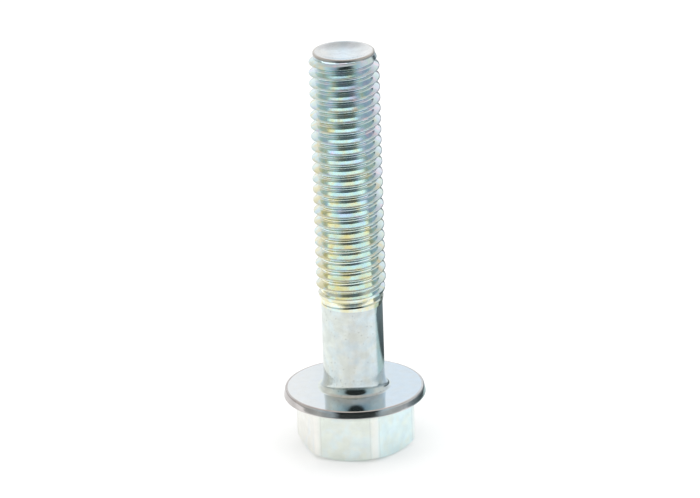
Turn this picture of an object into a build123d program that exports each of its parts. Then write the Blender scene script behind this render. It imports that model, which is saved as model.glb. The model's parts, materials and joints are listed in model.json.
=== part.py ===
from build123d import *
from math import ceil, cos, pi, radians, sin, tan
import os

# Hexagon flange bolt M8 x 1.25 x 40, cold forged and thread rolled in one piece.
# The origin is the centre of the flange's bearing face. +Z runs up the bolt's axis
# towards the threaded tip, and the head is below. All sizes are in millimetres.

# Length and thread
LENGTH = 40.0               # bearing face to tip
MAJOR_RADIUS = 3.93         # over the thread's crests
PITCH = 1.25
FLANK_SLOPE = tan(radians(30))
CREST_FLAT = PITCH / 8
ROOT_FLAT = PITCH / 4
FLANK_RISE = (PITCH - CREST_FLAT - ROOT_FLAT) / 2
ROOT_RADIUS = MAJOR_RADIUS - FLANK_RISE / FLANK_SLOPE
THREAD_START = 7.41         # height on the +X side where the helix begins, inside the shank
THREAD_CHORDS = 24          # straight facets to a turn, which keep the thread light

# Plain shank and its fillet under the head
SHANK_RADIUS = 3.47
SHANK_LENGTH = 10.2         # bearing face to the end of the thread's run-out
CREST_RUNOUT = 1.9 * PITCH  # over these heights the crests rise from the shank
ROOT_RUNOUT = 2.2 * PITCH   # and the root sinks into it
NECK_RADIUS = 3.53          # the shank widens a little from the neck's height down
NECK_HEIGHT = 3.4
FILLET_WIDTH = 0.6
FILLET_HEIGHT = 1.5

# Tip: rolled chamfer, narrow rim and a shallow cup
TIP_RADIUS = 3.44
TIP_CHAMFER_LENGTH = 1.0
TIP_COLLAR = 0.3
TIP_FOOT = 1.2
TIP_BEVEL = 0.1
CUP_RADIUS = 3.1
CUP_DEPTH = 0.42

# Flange
FLANGE_RADIUS = 8.05
FLANGE_RIM = 0.85
FLANGE_ROUND = 0.45         # at the bearing face; the other edge is bevelled
FLANGE_BEVEL = 0.15
FLANGE_SLOPE = tan(radians(22))

# Hexagon head
ACROSS_FLATS = 12.0
HEAD_HEIGHT = 7.0           # bearing face to the head's top
HEAD_START = -FLANGE_RIM / 2    # the hexagon begins inside the flange
CORNER_ROUND = 0.8
HEX_TURN = -11.0            # angle of one corner about the axis, from +X
CHAMFER_RADIUS = 5.65       # where the chamfer meets the flat ring on the head's top
CHAMFER_SLOPE = tan(radians(30))
HEAD_EDGE_ROUND = 0.4
RECESS_RADIUS = 3.9
RECESS_FLOOR_RADIUS = 3.3
RECESS_DEPTH = 0.4

LAP = 0.06                  # how far one shape runs into or past another before they join


def turned(outline):
    """Revolve a closed outline, drawn as radius and height, about the axis."""
    with BuildPart() as body:
        with BuildSketch(Plane.XZ):
            with BuildLine():
                outline()
            make_face()
        revolve(axis=Axis.Z)
    return body.part


def rounded_in_runs(start, corner, end):
    """Round off a corner between start and end with three straight runs, which stay light."""
    curve = Bezier(start, corner, end, mode=Mode.PRIVATE)
    return Polyline(start, curve @ (1 / 3), curve @ (2 / 3), end)


def thread_profile():
    """One pitch of the thread, as radius and height: root, flank, crest, flank."""
    return [
        (ROOT_RADIUS, 0),
        (ROOT_RADIUS, ROOT_FLAT),
        (MAJOR_RADIUS, ROOT_FLAT + FLANK_RISE),
        (MAJOR_RADIUS, ROOT_FLAT + FLANK_RISE + CREST_FLAT),
        (ROOT_RADIUS, PITCH),
    ]


def fading(radius, height):
    """The radius left of the thread's at a height: both crest and root start at the shank."""
    start = SHANK_RADIUS - LAP
    above = max(height - SHANK_LENGTH, 0)
    crest_limit = start + above * (MAJOR_RADIUS - start) / CREST_RUNOUT
    root_limit = start - above * (start - ROOT_RADIUS) / ROOT_RUNOUT
    return max(min(radius, crest_limit), min(root_limit, crest_limit))


def helix_point(radius, height, chord):
    """The point on a right-hand helix from the +X side after so many chords."""
    angle = 2 * pi * chord / THREAD_CHORDS
    rise = height + PITCH * chord / THREAD_CHORDS
    across = fading(radius, rise)
    return Vector(across * cos(angle), across * sin(angle), rise)


def facet(*corners):
    """A flat face between its corners."""
    return Face(Wire.make_polygon(corners, close=True))


def thread_facets(chord):
    """The facets of one chord of the thread, two triangles to each side of the profile."""
    faces = []
    profile = [(radius, THREAD_START + height) for radius, height in thread_profile()]
    for lower, upper in zip(profile, profile[1:]):
        start = helix_point(*lower, chord)
        end = helix_point(*upper, chord + 1)
        faces.append(facet(start, helix_point(*lower, chord + 1), end))
        faces.append(facet(start, end, helix_point(*upper, chord)))
    return faces


def rod_end(first_chord):
    """The fan and the radial face that close the threaded rod at one end."""
    start = helix_point(ROOT_RADIUS, THREAD_START, first_chord)
    centre = Vector(0, 0, start.Z)
    profile = [(radius, THREAD_START + height) for radius, height in thread_profile()]
    faces = [facet(centre, *[helix_point(*point, first_chord) for point in profile])]
    for chord in range(first_chord, first_chord + THREAD_CHORDS):
        left = helix_point(ROOT_RADIUS, THREAD_START, chord)
        right = helix_point(ROOT_RADIUS, THREAD_START, chord + 1)
        faces.append(facet(centre, left, right))
    return faces


def threaded_rod():
    """Thread from inside the shank to past the tip, as one closed solid."""
    chords = THREAD_CHORDS * ceil((LENGTH - THREAD_START) / PITCH)
    faces = rod_end(0) + rod_end(chords)
    for chord in range(chords):
        faces += thread_facets(chord)
    return Solid(Shell(faces))


def thread_limit_outline():
    """The chamfer that shortens the crests at the tip, and room round the rest."""
    clear_radius = MAJOR_RADIUS + 0.4
    chamfer_slope = TIP_CHAMFER_LENGTH / (MAJOR_RADIUS - TIP_RADIUS)
    top = LENGTH - TIP_COLLAR / 2
    Polyline(
        (0, NECK_HEIGHT),
        (clear_radius, NECK_HEIGHT),
        (clear_radius, top - (clear_radius - TIP_RADIUS) * chamfer_slope),
        (TIP_RADIUS, top),
        (0, top),
        close=True,
    )


def shank_outline():
    """The plain shank, from inside the flange up into the thread's run-out."""
    foot = (NECK_RADIUS + FILLET_WIDTH, 0)
    fillet_top = (NECK_RADIUS, FILLET_HEIGHT)
    end = SHANK_LENGTH + PITCH / 4
    Polyline((0, end), (0, -FLANGE_RIM / 2), (foot[0], -FLANGE_RIM / 2), foot)
    Bezier(foot, (NECK_RADIUS, 0), fillet_top)
    Polyline(
        fillet_top,
        (SHANK_RADIUS, NECK_HEIGHT),
        (SHANK_RADIUS, SHANK_LENGTH),
        (SHANK_RADIUS - 3 * LAP, end),
        (0, end),
    )


def tip_outline():
    """The collar that closes the thread at the tip."""
    Polyline(
        (0, LENGTH - TIP_FOOT),
        (ROOT_RADIUS - 2 * LAP, LENGTH - TIP_FOOT),
        (TIP_RADIUS, LENGTH - TIP_COLLAR),
        (TIP_RADIUS, LENGTH - TIP_BEVEL),
        (TIP_RADIUS - TIP_BEVEL, LENGTH),
        (0, LENGTH),
        close=True,
    )


def cup_outline():
    """The shallow cup that rolling leaves in the tip's end face."""
    floor = (0, LENGTH - CUP_DEPTH)
    edge = (CUP_RADIUS, LENGTH)
    rounded_in_runs(floor, (CUP_RADIUS / 2, LENGTH - CUP_DEPTH), edge)
    Polyline(edge, (CUP_RADIUS, LENGTH + LAP), (0, LENGTH + LAP), floor)


def flange_outline():
    """The flat bearing face, the rounded rim and the cone that runs into the hexagon."""
    face_edge = (FLANGE_RADIUS - FLANGE_ROUND, 0)
    rim_top = (FLANGE_RADIUS, -FLANGE_ROUND)
    rim_foot = (FLANGE_RADIUS, FLANGE_BEVEL - FLANGE_RIM)
    cone_edge = (FLANGE_RADIUS - FLANGE_BEVEL, -FLANGE_RIM)
    cone_radius = ACROSS_FLATS / 2 - 3 * LAP
    cone_foot = -FLANGE_RIM - (cone_edge[0] - cone_radius) * FLANGE_SLOPE
    Line((0, 0), face_edge)
    rounded_in_runs(face_edge, (FLANGE_RADIUS, 0), rim_top)
    Polyline(rim_top, rim_foot, cone_edge, (cone_radius, cone_foot), (0, cone_foot), (0, 0))


def head_limit_outline():
    """The head's round envelope: a chamfer, a flat ring and a pressed recess in the top."""
    top = -HEAD_HEIGHT
    floor = top + RECESS_DEPTH
    ring_edge = (CHAMFER_RADIUS - HEAD_EDGE_ROUND, top)
    chamfer_foot = (CHAMFER_RADIUS + HEAD_EDGE_ROUND, top + HEAD_EDGE_ROUND * CHAMFER_SLOPE)
    wide = ACROSS_FLATS * 0.7
    chamfer_end = (wide, top + (wide - CHAMFER_RADIUS) * CHAMFER_SLOPE)
    Polyline((0, floor), (RECESS_FLOOR_RADIUS, floor), (RECESS_RADIUS, top), ring_edge)
    rounded_in_runs(ring_edge, (CHAMFER_RADIUS, top), chamfer_foot)
    Polyline(chamfer_foot, chamfer_end, (wide, HEAD_START), (0, HEAD_START), (0, floor))


def hexagon():
    """The hexagonal prism with its corners rounded."""
    with BuildPart() as prism:
        with BuildSketch(Plane.XY.offset(HEAD_START)):
            RegularPolygon(ACROSS_FLATS / 2, 6, major_radius=False, rotation=HEX_TURN)
            fillet(vertices(), CORNER_ROUND)
        extrude(amount=-HEAD_HEIGHT)
    return prism.part


def head():
    """The flange with the hexagon under it."""
    return turned(flange_outline) + (hexagon() & turned(head_limit_outline))


def flange_bolt():
    """The whole bolt as one solid."""
    thread = threaded_rod() & turned(thread_limit_outline)
    return head() + turned(shank_outline) + thread + turned(tip_outline) - turned(cup_outline)


def main():
    os.makedirs("parts", exist_ok=True)
    export_step(flange_bolt(), "parts/flange_bolt.step")


main()
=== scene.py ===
import json
from math import cos, pi, radians, sin, tan

import bmesh
import bpy
import numpy as np
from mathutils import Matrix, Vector

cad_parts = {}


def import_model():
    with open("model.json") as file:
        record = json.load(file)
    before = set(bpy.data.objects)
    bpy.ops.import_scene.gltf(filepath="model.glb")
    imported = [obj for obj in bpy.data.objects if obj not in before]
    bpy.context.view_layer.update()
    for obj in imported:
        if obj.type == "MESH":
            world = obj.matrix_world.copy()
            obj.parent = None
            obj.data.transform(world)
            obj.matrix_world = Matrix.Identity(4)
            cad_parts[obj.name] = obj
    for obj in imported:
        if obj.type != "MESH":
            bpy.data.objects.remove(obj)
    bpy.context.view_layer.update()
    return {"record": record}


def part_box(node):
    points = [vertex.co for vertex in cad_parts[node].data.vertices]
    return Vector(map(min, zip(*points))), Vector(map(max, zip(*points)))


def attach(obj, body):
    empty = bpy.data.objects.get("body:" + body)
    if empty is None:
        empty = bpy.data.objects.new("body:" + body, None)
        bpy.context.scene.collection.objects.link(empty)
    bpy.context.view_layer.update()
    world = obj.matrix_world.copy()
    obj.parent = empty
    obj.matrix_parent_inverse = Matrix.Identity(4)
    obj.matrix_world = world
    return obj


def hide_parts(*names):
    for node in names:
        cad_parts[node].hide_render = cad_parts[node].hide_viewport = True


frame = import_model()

# A zinc plated hexagon flange bolt that stands on its head, thread up.
# The frame's origin is the centre of the flange's bearing face, +Z runs to the tip.

MM = 0.001

# Sizes that the frame gives
LOW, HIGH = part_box("flange_bolt")
MOUNTS = {mount["name"]: mount for mount in frame["record"]["mounts"]}
LENGTH = HIGH.z
HEAD_HEIGHT = -LOW.z
FLANGE_RADIUS = HIGH.x
CREST_RADIUS = MOUNTS["thread"]["dims"]["r_mm"] * MM

# Thread
PITCH = 1.25 * MM
FLANK_SLOPE = tan(radians(30))
CREST_FLAT = PITCH / 8
ROOT_FLAT = PITCH / 4
FLANK_RISE = (PITCH - CREST_FLAT - ROOT_FLAT) / 2
ROOT_RADIUS = CREST_RADIUS - FLANK_RISE / FLANK_SLOPE
THREAD_START = 7.41 * MM    # height of the helix's root on the +X side
CREST_SOFT = 0.08 * MM      # roundings of the profile's crest and root
ROOT_SOFT = 0.12 * MM
CHAMFER_SOFT = 0.02 * MM

# Shank and tip
SHANK_RADIUS = 3.47 * MM
SHANK_LENGTH = 10.2 * MM
CREST_RUNOUT = 1.9 * PITCH  # over these heights the crests rise from the shank
ROOT_RUNOUT = 2.2 * PITCH   # and the root sinks into it
FILLET_WIDTH = 0.7 * MM
FILLET_HEIGHT = 2.1 * MM
TIP_RADIUS = 3.44 * MM
TIP_CHAMFER = 1.0 * MM
TIP_COLLAR = 0.3 * MM
TIP_FOOT = 1.2 * MM
TIP_BEVEL = 0.1 * MM
TIP_EDGE_ROUND = 0.05 * MM
CUP_RADIUS = 3.1 * MM
CUP_DEPTH = 0.42 * MM
CUP_EDGE_ROUND = 0.08 * MM
CUP_FLOOR_ROUND = 0.9 * MM

# Head
FLANGE_RIM = 0.85 * MM
RIM_LEAN = 0.185 * MM       # the rim leans in by this much from the cone's edge to the face
RIM_ROUND = 0.22 * MM       # at the bearing face
RIM_BEVEL = 0.05 * MM       # at the cone
RIM_START = FLANGE_RADIUS - 0.12 * MM    # the cone ends here and the rim's edge begins
FLANGE_SLOPE = tan(radians(22))
APOTHEM = 6.0 * MM          # half the size across flats
CORNER_ROUND = 0.8 * MM
HEX_TURN = radians(-11)
FACE_RADIUS = 7.6 * MM      # the bearing face's material ends here, just inside the rim's rounding
CHAMFER_RADIUS = 5.65 * MM
CHAMFER_SLOPE = tan(radians(30))
CHAMFER_ROUND = 0.2 * MM    # where the chamfer meets the hexagon's sides
HEAD_EDGE_ROUND = 0.35 * MM  # at the head's top, and where the hexagon meets the flange
RECESS_RADIUS = 3.9 * MM
RECESS_FLOOR_RADIUS = 3.3 * MM
RECESS_DEPTH = 0.4 * MM
RECESS_EDGE_ROUND = 0.2 * MM
RECESS_FLOOR_ROUND = 0.25 * MM

# Mesh
SIDES = 6
SIDE_SEGMENTS = 22          # columns of faces along one side of the hexagon
CORNER_CROWDING = 0.8       # how much closer the columns stand at the corners
ROW_SPREAD = (-0.055, -0.02, 0.02, 0.055)     # rows at a bend of the thread, in pitches
FLANK_SUPPORT = 0.08        # rows this far from a bend keep the flank's shading straight
FLAT_SUPPORT = 0.05 * MM    # width of the bearing face's row at the fillet
CURVE_ROWS = 6              # rows of faces on each rounding of a section
FILLET_ROWS = 16
MERGE = 0.001 * MM
HEAD, RIM, FACE, SHANK, THREAD, TIP = range(6)    # material slots of the mesh


def soft_min(a, b, soft):
    """The lower of two values, with a rounded changeover."""
    overlap = np.maximum(soft - abs(a - b), 0) / soft
    return np.minimum(a, b) - overlap * overlap * soft / 4


def soft_max(a, b, soft):
    """The higher of two values, with a rounded changeover."""
    return -soft_min(-a, -b, soft)


def azimuths():
    """Angles of the mesh's columns, crowded at the hexagon's corners."""
    turn = 2 * pi / SIDES
    share = np.arange(SIDE_SEGMENTS) / SIDE_SEGMENTS
    share = share - CORNER_CROWDING * np.sin(2 * pi * share) / (2 * pi)
    sides = [HEX_TURN + turn * (side + share) for side in range(SIDES)]
    return np.concatenate(sides)


# ---------------------------------------------------------------- thread

def profile_bends():
    """Where the thread's profile turns within one pitch, as shares of the pitch."""
    flank_end = (ROOT_FLAT + FLANK_RISE) / PITCH
    crest_end = flank_end + CREST_FLAT / PITCH
    return [0.0, ROOT_FLAT / PITCH, flank_end, crest_end]


def thread_rows():
    """Rows of the mesh within one pitch, crowded at the bends of the profile."""
    bends = profile_bends()
    root_start, root_end, crest_start, crest_end = bends
    rows = [(bend + offset) % 1 for bend in bends for offset in ROW_SPREAD]
    rows.append((root_start + root_end) / 2)
    for start, end in ((root_end, crest_start), (crest_end, 1.0)):
        rows += [start + FLANK_SUPPORT, (start + end) / 2, end - FLANK_SUPPORT]
    return np.array(sorted(rows))


def thread_radius(height, angle):
    """The bolt's radius in the threaded stretch: profile, run-out, chamfer and tip."""
    phase = (height - THREAD_START) / PITCH - angle / (2 * pi)
    bends = profile_bends()
    crest_middle = (bends[2] + bends[3]) / 2
    from_crest = abs((phase - crest_middle + 0.5) % 1 - 0.5) * PITCH
    flank = CREST_RADIUS - (from_crest - CREST_FLAT / 2) / FLANK_SLOPE
    radius = soft_max(soft_min(flank, CREST_RADIUS, CREST_SOFT), ROOT_RADIUS, ROOT_SOFT)
    above = height - SHANK_LENGTH
    crest_limit = SHANK_RADIUS + above * (CREST_RADIUS - SHANK_RADIUS) / CREST_RUNOUT
    root_limit = SHANK_RADIUS - (above / ROOT_RUNOUT)**2 * (SHANK_RADIUS - ROOT_RADIUS)
    radius = np.minimum(radius, crest_limit)
    radius = np.maximum(radius, root_limit)
    below = LENGTH - TIP_COLLAR - height
    chamfer_limit = TIP_RADIUS + below * (CREST_RADIUS - TIP_RADIUS) / TIP_CHAMFER
    cone_limit = TIP_RADIUS - below * (TIP_RADIUS - ROOT_RADIUS) / (TIP_FOOT - TIP_COLLAR)
    radius = soft_min(radius, chamfer_limit, CHAMFER_SOFT)
    return np.maximum(radius, cone_limit)


def thread_points(angles):
    """Radii and heights of a grid that follows the helix and is cut level at both ends.

    The last value is the number of rows to a turn.
    """
    bottom = SHANK_LENGTH
    top = LENGTH - TIP_COLLAR
    rows = thread_rows()
    first = int((bottom - THREAD_START) / PITCH) - 1
    last = int((top - THREAD_START) / PITCH) + 1
    shares = np.concatenate([rows + turn for turn in range(first, last + 1)])
    lift = angles[None, :] / (2 * pi)
    heights = THREAD_START + PITCH * (shares[:, None] + lift)
    heights = np.clip(heights, bottom, top)
    radii = thread_radius(heights, angles[None, :])
    return radii, heights, len(rows)


# ---------------------------------------------------------------- head, shank and tip

def hexagon_radius(angle):
    """Distance from the axis to the hexagon's side, corners rounded."""
    turn = 2 * pi / SIDES
    from_corner = abs((angle - HEX_TURN + turn / 2) % turn - turn / 2)
    from_middle = turn / 2 - from_corner
    centre = (APOTHEM - CORNER_ROUND) / cos(turn / 2)
    flat_half = (APOTHEM - CORNER_ROUND) * tan(turn / 2)
    on_flat = APOTHEM / cos(from_middle)
    if on_flat * sin(from_middle) <= flat_half:
        return on_flat
    across = centre * sin(from_corner)
    return centre * cos(from_corner) + (CORNER_ROUND**2 - across**2) ** 0.5


def curve(start, corner, end, steps):
    """Points of a soft curve that rounds off a corner."""
    shares = [step / steps for step in range(steps + 1)]
    return [start.lerp(corner, share).lerp(corner.lerp(end, share), share) for share in shares]


def soft_path(corners):
    """Points along a path of (radius, height, rounding, rows of the stretch after it)."""
    spots = [Vector(corner[:2]) for corner in corners]
    points = []
    for index, (spot, corner) in enumerate(zip(spots, corners)):
        rounding, rows = corner[2:]
        before = spots[max(index - 1, 0)] - spot
        after = spots[min(index + 1, len(spots) - 1)] - spot
        if rounding:
            start = spot + before.normalized() * min(rounding, before.length * 0.45)
            end = spot + after.normalized() * min(rounding, after.length * 0.45)
            points += curve(start, spot, end, CURVE_ROWS)
        else:
            points.append(spot)
        if index + 1 < len(spots):
            next_rounding = min(corners[index + 1][2], after.length * 0.45)
            start = points[-1]
            end = spots[index + 1] - after.normalized() * next_rounding
            for step in range(1, rows):
                points.append(start.lerp(end, step / rows))
    return points


def cone_height(radius):
    """Height of the flange's cone at a distance from the axis."""
    return -FLANGE_RIM - (FLANGE_RADIUS - radius) * FLANGE_SLOPE


def head_section(angle):
    """Half section from the recess in the head's top, over the hexagon, to the cone's edge."""
    side = hexagon_radius(angle)
    head_top = -HEAD_HEIGHT
    chamfer_height = head_top + (side - CHAMFER_RADIUS) * CHAMFER_SLOPE
    return soft_path([
        (0, head_top + RECESS_DEPTH, 0, 12),
        (RECESS_FLOOR_RADIUS, head_top + RECESS_DEPTH, RECESS_FLOOR_ROUND, 2),
        (RECESS_RADIUS, head_top, RECESS_EDGE_ROUND, 6),
        (CHAMFER_RADIUS, head_top, HEAD_EDGE_ROUND, 2),
        (side, chamfer_height, CHAMFER_ROUND, 10),
        (side, cone_height(side), HEAD_EDGE_ROUND, 5),
        (RIM_START, cone_height(RIM_START), 0, 0),
    ])


def rim_section(angle):
    """Half section of the flange's rim, from the cone to the bearing face."""
    return soft_path([
        (RIM_START, cone_height(RIM_START), 0, 1),
        (FLANGE_RADIUS, -FLANGE_RIM, RIM_BEVEL, 5),
        (FLANGE_RADIUS - RIM_LEAN, 0, RIM_ROUND, 1),
        (FACE_RADIUS, 0, 0, 0),
    ])


def face_section(angle):
    """Half section of the flat bearing face; a narrow row at the fillet keeps it flat."""
    fillet_foot = SHANK_RADIUS + FILLET_WIDTH
    return soft_path([
        (FACE_RADIUS, 0, 0, 10),
        (fillet_foot + FLAT_SUPPORT, 0, 0, 1),
        (fillet_foot, 0, 0, 0),
    ])


def shank_section(angle):
    """Half section of the fillet and the plain shank."""
    foot = Vector((SHANK_RADIUS + FILLET_WIDTH, 0))
    corner = Vector((SHANK_RADIUS, 0))
    top = Vector((SHANK_RADIUS, FILLET_HEIGHT))
    return curve(foot, corner, top, FILLET_ROWS)[:-1] + soft_path([
        (SHANK_RADIUS, FILLET_HEIGHT, 0, 10),
        (SHANK_RADIUS, SHANK_LENGTH, 0, 0),
    ])


def tip_section(angle):
    """Half section from the top of the thread over the tip's rim into its cup."""
    return soft_path([
        (TIP_RADIUS, LENGTH - TIP_COLLAR, 0, 1),
        (TIP_RADIUS, LENGTH - TIP_BEVEL, TIP_EDGE_ROUND, 1),
        (TIP_RADIUS - TIP_BEVEL, LENGTH, TIP_EDGE_ROUND, 1),
        (CUP_RADIUS, LENGTH, CUP_EDGE_ROUND, 3),
        (CUP_RADIUS / 2, LENGTH - CUP_DEPTH, CUP_FLOOR_ROUND, 4),
        (0, LENGTH - CUP_DEPTH, 0, 0),
    ])


def around(radii, heights, angles):
    """Points in space for a grid of radii and heights over the columns' angles."""
    return np.stack([radii * np.cos(angles), radii * np.sin(angles), heights], axis=-1)


def turned_grid(section_at, angles):
    """The grid of points of a section that may change with the angle."""
    sections = np.array([[tuple(point) for point in section_at(angle)] for angle in angles])
    radii = sections[:, :, 0].T
    heights = sections[:, :, 1].T
    return around(radii, heights, angles[None, :])


def add_grid(mesh, grid, material, shift=0):
    """Faces over a grid of points that closes round the axis, shifted rows for a helix."""
    rows, columns = grid.shape[:2]
    points = [[mesh.verts.new(point) for point in row] for row in grid]
    for row in range(rows - 1 - shift):
        for column in range(columns):
            step = shift if column == columns - 1 else 0
            beside = (column + 1) % columns
            corners = (
                points[row][column],
                points[row + step][beside],
                points[row + step + 1][beside],
                points[row + 1][column],
            )
            face = mesh.faces.new(corners)
            face.material_index = material
            face.smooth = True


def bolt_mesh():
    """The whole bolt as one closed mesh."""
    angles = azimuths()
    mesh = bmesh.new()
    add_grid(mesh, turned_grid(head_section, angles), HEAD)
    add_grid(mesh, turned_grid(rim_section, angles), RIM)
    add_grid(mesh, turned_grid(face_section, angles), FACE)
    add_grid(mesh, turned_grid(shank_section, angles), SHANK)
    radii, heights, shift = thread_points(angles)
    add_grid(mesh, around(radii, heights, angles[None, :]), THREAD, shift)
    add_grid(mesh, turned_grid(tip_section, angles), TIP)
    bmesh.ops.remove_doubles(mesh, verts=mesh.verts, dist=MERGE)
    data = bpy.data.meshes.new("flange_bolt_finish")
    mesh.to_mesh(data)
    mesh.free()
    return data


# ---------------------------------------------------------------- materials

class Graph:
    """A short way to write the nodes of a material or of the world."""

    def __init__(self, owner):
        owner.use_nodes = True
        self.nodes = owner.node_tree.nodes
        self.links = owner.node_tree.links
        self.shader = self.nodes.get("Principled BSDF") or self.nodes["Background"]

    def add(self, kind, inputs=None, **settings):
        """A new node with its settings, and its inputs linked or set."""
        node = self.nodes.new("ShaderNode" + kind)
        for key, value in settings.items():
            setattr(node, key, value)
        for key, value in (inputs or {}).items():
            self.put(node.inputs[key], value)
        return node

    def put(self, socket, value):
        """Link an output to a socket, or set its value; colours come without their alpha."""
        if isinstance(value, bpy.types.NodeSocket):
            self.links.new(value, socket)
        elif socket.type == "RGBA":
            socket.default_value = (*value, 1)
        else:
            socket.default_value = value

    def shade(self, inputs):
        """Link or set the shader's inputs."""
        for key, value in inputs.items():
            self.put(self.shader.inputs[key], value)

    def math(self, operation, a, b=0.0, clamp=False):
        """The result of one sum."""
        return self.add("Math", {0: a, 1: b}, operation=operation, use_clamp=clamp).outputs[0]

    def times(self, product, *others):
        """The product of several values."""
        for other in others:
            product = self.math("MULTIPLY", product, other)
        return product

    def mix(self, share, a, b, blend="MIX"):
        """Two colours mixed."""
        return self.add("MixRGB", {0: share, 1: a, 2: b}, blend_type=blend).outputs[0]

    def parts(self, vector):
        """The x, y and z of a vector."""
        return list(self.add("SeparateXYZ", {0: vector}).outputs)

    def length(self, vector, weights):
        """The length of a vector after a weight on each of its parts."""
        weighted = self.add("VectorMath", {0: vector, 1: weights}, operation="MULTIPLY")
        measured = self.add("VectorMath", {0: weighted.outputs["Vector"]}, operation="LENGTH")
        return measured.outputs["Value"]

    def noise(self, place, scale, detail=2.0, rough=0.5):
        """Noise in cells of 1 / scale."""
        inputs = {"Vector": place, "Scale": scale, "Detail": detail, "Roughness": rough}
        return self.add("TexNoise", inputs).outputs[0]

    def ramp(self, value, stops):
        """A colour ramp through (place, colour) stops."""
        node = self.add("ValToRGB", {0: value})
        elements = node.color_ramp.elements
        while len(elements) < len(stops):
            elements.new(0.5)
        for element, (place, colour) in zip(elements, stops):
            element.position = place
            element.color = (*colour, 1)
        return node.outputs[0]

    def span(self, value, low, high, to_low=0.0, to_high=1.0):
        """A value mapped from one range to another."""
        inputs = {0: value, 1: low, 2: high, 3: to_low, 4: to_high}
        return self.add("MapRange", inputs).outputs[0]


# The plating's tints
OLIVE = (0.90, 0.86, 0.56)
STRAW = (0.88, 0.90, 0.77)
GREEN = (0.79, 0.95, 0.89)
CYAN = (0.75, 0.93, 0.97)
BLUE = (0.76, 0.87, 1.0)
LAVENDER = (0.96, 0.87, 0.96)
TINTS = [(0.24, OLIVE), (0.37, STRAW), (0.47, GREEN), (0.58, CYAN), (0.69, BLUE), (0.84, LAVENDER)]

# Painted highlights, with thin lines of painted shade, at the hexagon's corners; and dull places
CORNER_HIGHLIGHT = (0.95, 0.94, 0.90)
CORNER_SHADE_LINE = (0.62, 0.62, 0.60)
SHADE_LINE_ANGLE = 0.082           # angle from a corner to the thin line of painted shade beside the highlight, in radians
DULL = (0.60, 0.57, 0.53)
DULL_BLEND = 0.1            # in mm

# Noises are laid out in mm, so a scale is the number of cells in a millimetre
CLOUD_SCALE = 0.9
TINT_SCALE = 0.7
LINE_SCALE = 3.0
LINE_SHARE = 0.09           # along the axis the lines' scale is this much smaller
PIT_SCALE = 1.7
GRAIN_SCALE = 7.0           # of the gloss and the bumps
BUMP = 0.04


class Finish:
    """The numbers that set one stretch of the bolt apart from the others."""

    def __init__(
        self, sides, width, roughness,
        tint=0.0, mottle=0.0, streak=0.0, pits=0.0, corners=0.0, ring=0.0,
    ):
        self.sides = sides              # base colours on the left, in the middle and on the right; their differences are painted shade and reflection
        self.width = width              # half width of their change, in mm or as a facet's direction
        self.roughness = roughness
        self.tint = tint                # share of the plating's tints in the colour
        self.mottle = mottle            # depth of the cloudy shading
        self.streak = streak            # depth of the fine lines along the axis
        self.pits = pits                # depth of the small dark pits
        self.corners = corners          # strength of the painted highlight and shade lines at the hexagon's corners
        self.ring = ring                # radius in mm outside which the tip is dull and brown-grey


def painted_side_shade(graph, finish, in_mm):
    """The base colour with painted shade and reflection: lighter or darker from side to side, and facet
    by facet on the head.
    """
    source = graph.add("TexCoord").outputs["Normal"] if finish.corners else in_mm
    share = graph.span(graph.parts(source)[0], -finish.width, finish.width)
    left, middle, right = finish.sides
    return graph.ramp(share, [(0.1, left), (0.5, middle), (0.9, right)])


def plating_tint(graph, in_mm):
    """Tints of the plating: straw and olive low on the left, cyan and lavender high on the right."""
    x, y, z = graph.parts(in_mm)
    cloud = graph.span(graph.noise(in_mm, TINT_SCALE, 4.0, 0.6), 0.0, 1.0, -0.2, 1.2)
    side = graph.span(x, -4.0, 4.0, -0.11, 0.09)
    height = graph.span(z, 8.0, 40.0, -0.14, 0.12)
    value = graph.math("ADD", graph.math("ADD", cloud, side), height)
    return graph.ramp(value, TINTS)


def darkening(graph, finish, in_mm, place):
    """What darkens the colour: soft clouds, fine lines along the axis and small pits."""
    drawn = graph.add("Mapping", {"Vector": place, "Scale": (1000, 1000, 1000 * LINE_SHARE)})
    cloud = graph.span(graph.noise(in_mm, CLOUD_SCALE, 4.0), 0.35, 0.65, 1 - finish.mottle, 1.0)
    lines = graph.noise(drawn.outputs[0], LINE_SCALE, 3.0)
    shade = graph.times(cloud, graph.span(lines, 0.35, 0.65, 1 - finish.streak, 1.0))
    if finish.pits:
        cells = graph.add("TexVoronoi", {"Vector": in_mm, "Scale": PIT_SCALE}).outputs["Distance"]
        shade = graph.times(shade, graph.span(cells, 0.05, 0.16, 1 - finish.pits, 1.0))
    return shade


def painted_corner_highlight(graph, in_mm, colour, strength):
    """A painted highlight along each corner of the hexagon, with a thin line of painted shade on both
    sides.
    """
    x, y = graph.parts(in_mm)[:2]
    turn = 2 * pi / SIDES
    angle = graph.math("ADD", graph.math("ARCTAN2", y, x), 2 * pi - HEX_TURN + turn / 2)
    within = graph.math("MODULO", angle, turn)
    from_corner = graph.math("ABSOLUTE", graph.math("SUBTRACT", within, turn / 2))
    # painted highlight along the corner, and painted shade on the thin lines beside it
    strip = graph.span(from_corner, 0.04, 0.085, strength, 0.0)
    from_edge = graph.math("ABSOLUTE", graph.math("SUBTRACT", from_corner, SHADE_LINE_ANGLE))
    line = graph.span(from_edge, 0.0, 0.016, strength / 2, 0.0)
    return graph.mix(line, graph.mix(strip, colour, CORNER_HIGHLIGHT), CORNER_SHADE_LINE)


def dull_ring(graph, in_mm, colour, radius):
    """A dull brown-grey ring outside a radius."""
    distance = graph.length(in_mm, (1.0, 1.0, 0.0))
    return graph.mix(graph.span(distance, radius, radius + DULL_BLEND, 0.0, 0.8), colour, DULL)


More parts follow.
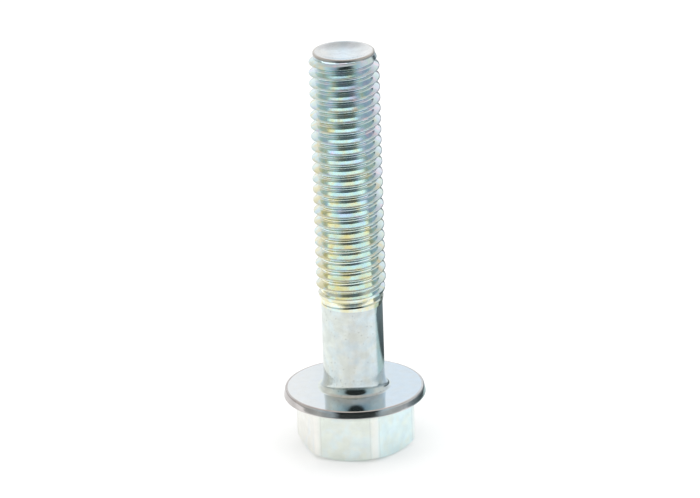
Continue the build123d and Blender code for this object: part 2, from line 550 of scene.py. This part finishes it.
def zinc(name, finish):
    """Bright zinc plate: pale steel with soft tints, uneven gloss and fine pits."""
    material = bpy.data.materials.new(name)
    graph = Graph(material)
    place = graph.add("TexCoord").outputs["Object"]
    in_mm = graph.add("Mapping", {"Vector": place, "Scale": (1000, 1000, 1000)}).outputs[0]
    colour = graph.mix(finish.tint, painted_side_shade(graph, finish, in_mm), plating_tint(graph, in_mm))
    colour = graph.mix(1.0, colour, darkening(graph, finish, in_mm, place), "MULTIPLY")
    if finish.corners:
        colour = painted_corner_highlight(graph, in_mm, colour, finish.corners)
    if finish.ring:
        colour = dull_ring(graph, in_mm, colour, finish.ring)
    grain = graph.noise(in_mm, GRAIN_SCALE, 3.0)
    bump = graph.add("Bump", {"Height": grain, "Strength": BUMP, "Distance": 0.02 * MM})
    graph.shade({
        "Base Color": colour,
        "Roughness": graph.span(grain, 0.3, 0.7, finish.roughness * 0.8, finish.roughness * 1.25),
        "Normal": bump.outputs[0],
        "Metallic": 1.0,
    })
    return material


# In each finish the sides' lighter and darker base colours are painted shade and reflection, fixed to the
# bolt
HEAD_FINISH = Finish(
    sides=[(0.99, 1.0, 1.0), (0.73, 0.83, 0.82), (0.81, 0.97, 1.0)],
    width=1.0, roughness=0.20, tint=0.2, mottle=0.08, corners=0.6,
)
RIM_FINISH = Finish(
    sides=[(0.60, 0.57, 0.56), (0.95, 0.91, 0.90), (0.64, 0.66, 0.68)],
    width=8.0, roughness=0.09, mottle=0.15,
)
FACE_FINISH = Finish(
    sides=[(0.80, 0.84, 0.885), (0.64, 0.75, 0.85), (0.64, 0.75, 0.86)],
    width=8.0, roughness=0.07, tint=0.1, mottle=0.03,
)
SHANK_FINISH = Finish(
    sides=[(0.78, 0.87, 0.885), (0.62, 0.67, 0.69), (0.68, 0.78, 0.835)],
    width=3.5, roughness=0.12, tint=0.2, mottle=0.14, streak=0.03, pits=0.35,
)
THREAD_FINISH = Finish(
    sides=[GREEN, GREEN, GREEN],
    width=3.5, roughness=0.11, tint=0.95, mottle=0.08,
)
TIP_FINISH = Finish(
    sides=[(0.77, 0.77, 0.77), (0.74, 0.86, 0.95), (0.87, 0.88, 0.88)],
    width=3.4, roughness=0.16, tint=0.1, mottle=0.12, pits=0.2, ring=3.16,
)


def bolt():
    """The bolt's visible piece; its materials stand in the order of the mesh's slots."""
    piece = bpy.data.objects.new("flange_bolt_finish", bolt_mesh())
    bpy.context.scene.collection.objects.link(piece)
    piece.data.materials.append(zinc("zinc_head", HEAD_FINISH))
    piece.data.materials.append(zinc("zinc_rim", RIM_FINISH))
    piece.data.materials.append(zinc("zinc_bearing_face", FACE_FINISH))
    piece.data.materials.append(zinc("zinc_shank", SHANK_FINISH))
    piece.data.materials.append(zinc("zinc_thread", THREAD_FINISH))
    piece.data.materials.append(zinc("zinc_tip", TIP_FINISH))
    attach(piece, "root")
    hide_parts("flange_bolt")
    return piece


# ---------------------------------------------------------------- stage, light and camera

CAMERA_PLACE = Vector((5.2, -500.1, 209.7)) * MM
AIM = Vector((0, 0, 16.5)) * MM
ROLL = radians(-1.92)
LENS = 246.0

# The floor; reflections see it end at an oval, and see painted shade past a slanted line behind on the
# right
FLOOR_SIZE = 3.0
FLOOR_OVAL = (0.8, 1.0, 1.0)        # weights of a distance, so that it reaches further at the sides
FLOOR_END = (56 * MM, 59 * MM)
FLOOR_GLOW = 0.27                   # for the camera
REFLECTED_GLOW = (0.2, 0.45)        # for reflections, near the bolt and further out
GLOW_RISE = (40 * MM, 52 * MM)
FLOOR_WHITE = (0.85, 0.85, 0.85)
FLOOR_TEAL = (0.56, 0.70, 0.70)
TEAL_SIDE = (1 * MM, 6 * MM)        # the teal begins this far to the right,
TEAL_TURN = (0.49, 0.56)            # at this turn from the viewer's side
TEAL_START = (13 * MM, 17 * MM)     # and at this distance
PAST_FLOOR = [                      # by the turn from the viewer's side, 0 in front and 1 behind
    (0.06, (0.115, 0.14, 0.145)),
    (0.16, (0.15, 0.18, 0.185)),
    (0.24, (0.32, 0.36, 0.36)),
    (0.32, (0.48, 0.51, 0.50)),
    (0.45, (0.46, 0.48, 0.47)),
    (0.62, (0.52, 0.53, 0.53)),
    (0.80, (0.85, 0.85, 0.85)),
]
SLANT = (0.465, 0.885)              # direction square to the slanted line
SLANT_END = (24 * MM, 26.5 * MM)    # how far from the axis the line runs
SLANT_SIDE = (3 * MM, 8 * MM)       # how far to the right it begins
PAST_SLANT_REACH = 100 * MM         # distance from the axis at which the next colours stand at 1
# painted shade that only reflections see past the slanted line, by the distance from the axis
PAST_SLANT = [
    (0.24, (0.045, 0.06, 0.06)),
    (0.40, (0.20, 0.24, 0.25)),
    (0.80, (0.42, 0.45, 0.47)),
]

# The surroundings that reflections see, by the same turn; heights are elevations over pi
SURROUNDINGS = [
    (0.18, (0.30, 0.38, 0.42)),
    (0.30, (0.48, 0.58, 0.62)),
    (0.45, (0.70, 0.71, 0.68)),
    (0.62, (0.75, 0.72, 0.68)),
    (0.80, (0.78, 0.77, 0.78)),
    (0.92, (1.0, 1.0, 1.0)),
]
OVERHEAD = (0.60, 0.55, 0.52)
OVERHEAD_START = (0.165, 0.28)      # height
DARK_SPOT = (0.02, 0.025, 0.025)    # an oval in front, above the horizon
SPOT_TURN = 0.02
SPOT_HEIGHT = 0.075
SPOT_WIDTH = 0.21
SPOT_RISE = 0.15
SPOT_EDGE = (0.85, 1.12)            # where the spot fades out, 1 being the oval itself
DARK_HEAP = (0.08, 0.10, 0.10)      # low behind on the right
HEAP_START = (0.63, 0.70)           # turns
HEAP_END = (0.92, 0.96)
HEAP_TOP = (0.03, 0.06)             # height


def panel(name, width, depth):
    """A flat rectangle as a mesh object of the stage."""
    data = bpy.data.meshes.new(name)
    x, y = width / 2, depth / 2
    data.from_pydata([(-x, -y, 0), (x, -y, 0), (x, y, 0), (-x, y, 0)], [], [(0, 1, 2, 3)])
    item = bpy.data.objects.new(name, data)
    bpy.context.scene.collection.objects.link(item)
    return item


def turn_from_front(graph, x, y):
    """How far a direction turns from the viewer's side: 0 in front, 1 or -1 behind, minus on the left."""
    return graph.math("DIVIDE", graph.math("ARCTAN2", x, graph.math("MULTIPLY", y, -1.0)), pi)


def teal_share(graph, x, around, distance):
    """The share of the teal light on the floor to the right."""
    return graph.times(
        graph.span(x, *TEAL_SIDE),
        graph.span(around, *TEAL_TURN),
        graph.span(distance, *TEAL_START),
    )


def slant_share(graph, x, y):
    """1 on the floor past the slanted line behind on the right, where reflections see painted shade, 0 on
    this side of it.
    """
    beyond = graph.math("ADD", graph.times(x, SLANT[0]), graph.times(y, SLANT[1]))
    return graph.times(graph.span(beyond, *SLANT_END), graph.span(x, *SLANT_SIDE))


def floor_glow(graph, rays, distance, dark_shares):
    """The floor's own light, which reflections see only where they don't see a dark share."""
    seen = graph.math("ADD", rays["Is Glossy Ray"], rays["Is Transmission Ray"], True)
    glow = graph.times(seen, graph.span(distance, *GLOW_RISE, *REFLECTED_GLOW))
    for share in dark_shares:
        glow = graph.times(glow, graph.math("SUBTRACT", 1.0, share))
    return graph.math("ADD", glow, graph.times(rays["Is Camera Ray"], FLOOR_GLOW))


def floor_white():
    """White, but reflections see it end some way off: dark in front and grey at the sides.

    They also see teal light on the right, and painted shade past a slanted line behind on the right.
    """
    material = bpy.data.materials.new("floor_white")
    graph = Graph(material)
    rays = graph.add("LightPath").outputs
    glossy = rays["Is Glossy Ray"]
    place = graph.add("TexCoord").outputs["Object"]
    x, y = graph.parts(place)[:2]
    distance = graph.length(place, FLOOR_OVAL)
    around = graph.math("ABSOLUTE", turn_from_front(graph, x, y))
    far = graph.times(graph.span(distance, *FLOOR_END), glossy)
    teal = graph.times(teal_share(graph, x, around, distance), glossy)
    slant = graph.times(slant_share(graph, x, y), glossy)
    colour = graph.mix(teal, FLOOR_WHITE, FLOOR_TEAL)
    colour = graph.mix(far, colour, graph.ramp(around, PAST_FLOOR))
    reach = graph.span(distance, 0.0, PAST_SLANT_REACH)
    colour = graph.mix(slant, colour, graph.ramp(reach, PAST_SLANT))
    graph.shade({
        "Base Color": colour,
        "Emission Strength": floor_glow(graph, rays, distance, (far, slant, teal)),
        "Emission Color": (1, 1, 1),
        "Roughness": 0.9,
        "Specular IOR Level": 0.0,
    })
    return material


def floor():
    """The pale floor under the head; it glows a little so that it shows as white."""
    item = panel("floor", FLOOR_SIZE, FLOOR_SIZE)
    item.location.z = LOW.z
    item.data.materials.append(floor_white())


def spot_share(graph, turned, height):
    """1 inside the dark oval in front, 0 outside it."""
    across = graph.math("DIVIDE", graph.math("SUBTRACT", turned, SPOT_TURN), SPOT_WIDTH)
    up = graph.math("DIVIDE", graph.math("SUBTRACT", height, SPOT_HEIGHT), SPOT_RISE)
    squares = graph.math("ADD", graph.math("POWER", across, 2.0), graph.math("POWER", up, 2.0))
    return graph.span(graph.math("SQRT", squares), *SPOT_EDGE, 1.0, 0.0)


def heap_share(graph, turned, height):
    """1 low behind on the right, 0 elsewhere."""
    return graph.times(
        graph.span(turned, *HEAP_START),
        graph.span(turned, *HEAP_END, 1.0, 0.0),
        graph.span(height, *HEAP_TOP, 1.0, 0.0),
    )


def world():
    """Blue-grey towards the viewer, tan at the sides and overhead, white behind.

    A black spot stands in front and a dark heap low behind on the right. Only reflections
    show all this; the floor is lit by even white.
    """
    bpy.context.scene.world = bpy.data.worlds.new("studio")
    graph = Graph(bpy.context.scene.world)
    x, y, z = graph.parts(graph.add("TexCoord").outputs["Generated"])
    turned = turn_from_front(graph, x, y)
    height = graph.math("DIVIDE", graph.math("ARCSINE", z), pi)
    colour = graph.ramp(graph.math("ABSOLUTE", turned), SURROUNDINGS)
    colour = graph.mix(graph.span(height, *OVERHEAD_START), colour, OVERHEAD)
    colour = graph.mix(spot_share(graph, turned, height), colour, DARK_SPOT)
    colour = graph.mix(heap_share(graph, turned, height), colour, DARK_HEAP)
    reflected = graph.add("LightPath").outputs["Is Glossy Ray"]
    graph.shade({"Color": graph.mix(reflected, (1, 1, 1), colour)})


def camera():
    """The camera, above and in front, with the bolt in the middle of its view."""
    data = bpy.data.cameras.new("camera")
    data.sensor_width = 36.0
    data.lens = LENS
    data.clip_start = 0.01
    item = bpy.data.objects.new("camera", data)
    bpy.context.scene.collection.objects.link(item)
    turn = (AIM - CAMERA_PLACE).to_track_quat("-Z", "Y").to_euler()
    item.location = CAMERA_PLACE
    item.rotation_euler = turn
    item.rotation_euler.rotate_axis("Z", ROLL)
    bpy.context.scene.camera = item


bolt()
floor()
world()
camera()
bpy.context.scene.view_settings.view_transform = "Standard"
